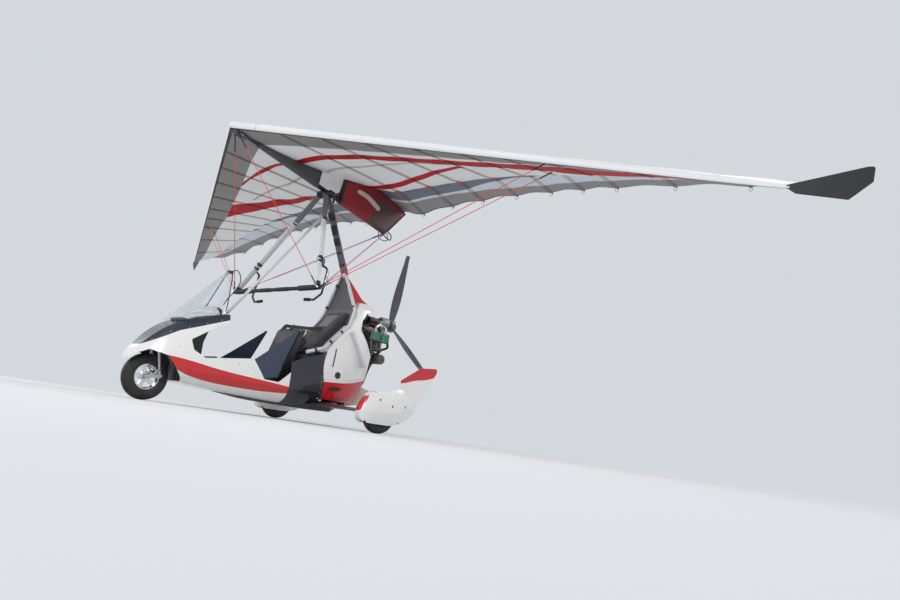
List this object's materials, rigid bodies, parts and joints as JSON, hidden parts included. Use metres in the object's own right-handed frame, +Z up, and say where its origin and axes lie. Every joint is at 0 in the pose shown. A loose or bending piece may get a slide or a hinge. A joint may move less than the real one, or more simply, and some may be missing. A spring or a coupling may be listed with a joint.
{
  "type": "flex-wing microlight aircraft",
  "caption": "Two-seat weight-shift microlight: white sail over an open faired pod, steerable nose wheel, faired main wheels, pusher propeller and a wing that tilts on its mast.",
  "frame": {"origin": "on the ground under the middle of the overall box", "axes": "+X to the aircraft's left wing tip, nose towards -Y, +Z up"},
  "size_m": [10.0594, 3.2082, 2.8671],
  "materials": {
    "white_gloss": "gloss",
    "white_red_cowl": "gloss",
    "white_red_spat": "gloss",
    "dark_trim": "satin",
    "dark_tub": "gloss",
    "black_carbon": "satin",
    "red_gloss": "gloss",
    "duct_grey": "satin",
    "radiator_core": "matte",
    "clear_screen": "clear",
    "mast_dark": "satin anodised",
    "rail_grey": "satin",
    "strut_grey": "satin",
    "upright_alloy": "satin anodised",
    "engine_metal": "cast",
    "steel_axle": "machined",
    "fork_silver": "satin",
    "tyre": "matte",
    "rim_alloy": "cast, satin",
    "blade_grey": "satin",
    "seat_black": "padded cloth",
    "sail_white": "laminate cloth",
    "sail_pocket": "cloth",
    "sleeve_dark": "mesh cloth",
    "bar_foam": "foam",
    "stay_red": "sheathed wire rope"
  },
  "bodies": {
    "trike": {"front_pod": "white_gloss", "nose_deck": "dark_trim", "dash_hood": "white_gloss", "main_beam": "mast_dark", "windscreen": "clear_screen", "centre_tub": "dark_tub", "rear_cowl": "white_red_cowl", "belly_fairing": "black_carbon", "radiator_duct": "duct_grey", "radiator": "radiator_core", "mast": "mast_dark", "front_strut": "strut_grey", "engine_block": "engine_metal", "gearbox": "engine_metal", "front_seat": "seat_black", "rear_seat": "seat_black", "seat_guards": "dark_tub", "mast_fairing": "red_gloss", "steering_head": "mast_dark", "side_rail_port": "rail_grey", "side_rail_starboard": "rail_grey", "side_brace_port": "rail_grey", "side_brace_starboard": "rail_grey", "engine_mount_port": "mast_dark", "engine_mount_starboard": "mast_dark", "leg_port": "black_carbon", "leg_starboard": "black_carbon", "axle_port": "steel_axle", "axle_starboard": "steel_axle", "spat_port": "white_red_spat", "spat_starboard": "white_red_spat"},
    "fork": {"front_fork": "fork_silver"},
    "front_wheel": {"front_tyre": "tyre", "front_rim": "rim_alloy"},
    "port_wheel": {"port_tyre": "tyre", "port_rim": "rim_alloy"},
    "starboard_wheel": {"starboard_tyre": "tyre", "starboard_rim": "rim_alloy"},
    "propeller": {"propeller": "blade_grey"},
    "hang_block": {"hang_block": "mast_dark"},
    "wing": {"keel_tube": "mast_dark", "keel_pocket": "sail_pocket", "keel_sleeve": "sleeve_dark", "base_bar": "bar_foam", "apex_bracket": "mast_dark", "sail_port": "sail_white", "sail_starboard": "sail_white", "winglet_port": "black_carbon", "winglet_starboard": "black_carbon", "upright_port": "upright_alloy", "upright_starboard": "upright_alloy", "training_bar_port": "mast_dark", "training_bar_starboard": "mast_dark", "front_stay_port": "stay_red", "front_stay_starboard": "stay_red", "rear_stay_port": "stay_red", "rear_stay_starboard": "stay_red", "side_stay_port": "stay_red", "side_stay_starboard": "stay_red"}
  },
  "joints": [
    {"name": "steering", "type": "hinge", "parent": "trike", "child": "fork", "pos_m": [0, -1.349, 0.462], "axis": [0, 0.2419, 0.9703], "range_deg": [-28, 28]},
    {"name": "front_wheel_spin", "type": "hinge", "parent": "fork", "child": "front_wheel", "pos_m": [0, -1.389, 0.205], "axis": [1, 0, 0], "continuous": true},
    {"name": "port_wheel_spin", "type": "hinge", "parent": "trike", "child": "port_wheel", "pos_m": [0.895, 0.619, 0.205], "axis": [1, 0, 0], "continuous": true},
    {"name": "starboard_wheel_spin", "type": "hinge", "parent": "trike", "child": "starboard_wheel", "pos_m": [-0.895, 0.619, 0.205], "axis": [1, 0, 0], "continuous": true},
    {"name": "propeller_spin", "type": "hinge", "parent": "trike", "child": "propeller", "pos_m": [0, 1.381, 1.254], "axis": [0, 1, 0], "continuous": true},
    {"name": "wing_pitch", "type": "hinge", "parent": "trike", "child": "hang_block", "pos_m": [0, 0.18428, 2.42512], "axis": [1, 0, 0], "range_deg": [-6.5, 9]},
    {"name": "wing_roll", "type": "hinge", "parent": "hang_block", "child": "wing", "pos_m": [0, 0.196, 2.486], "axis": [0, 0.982, -0.1891], "range_deg": [-16, 16]}
  ]
}
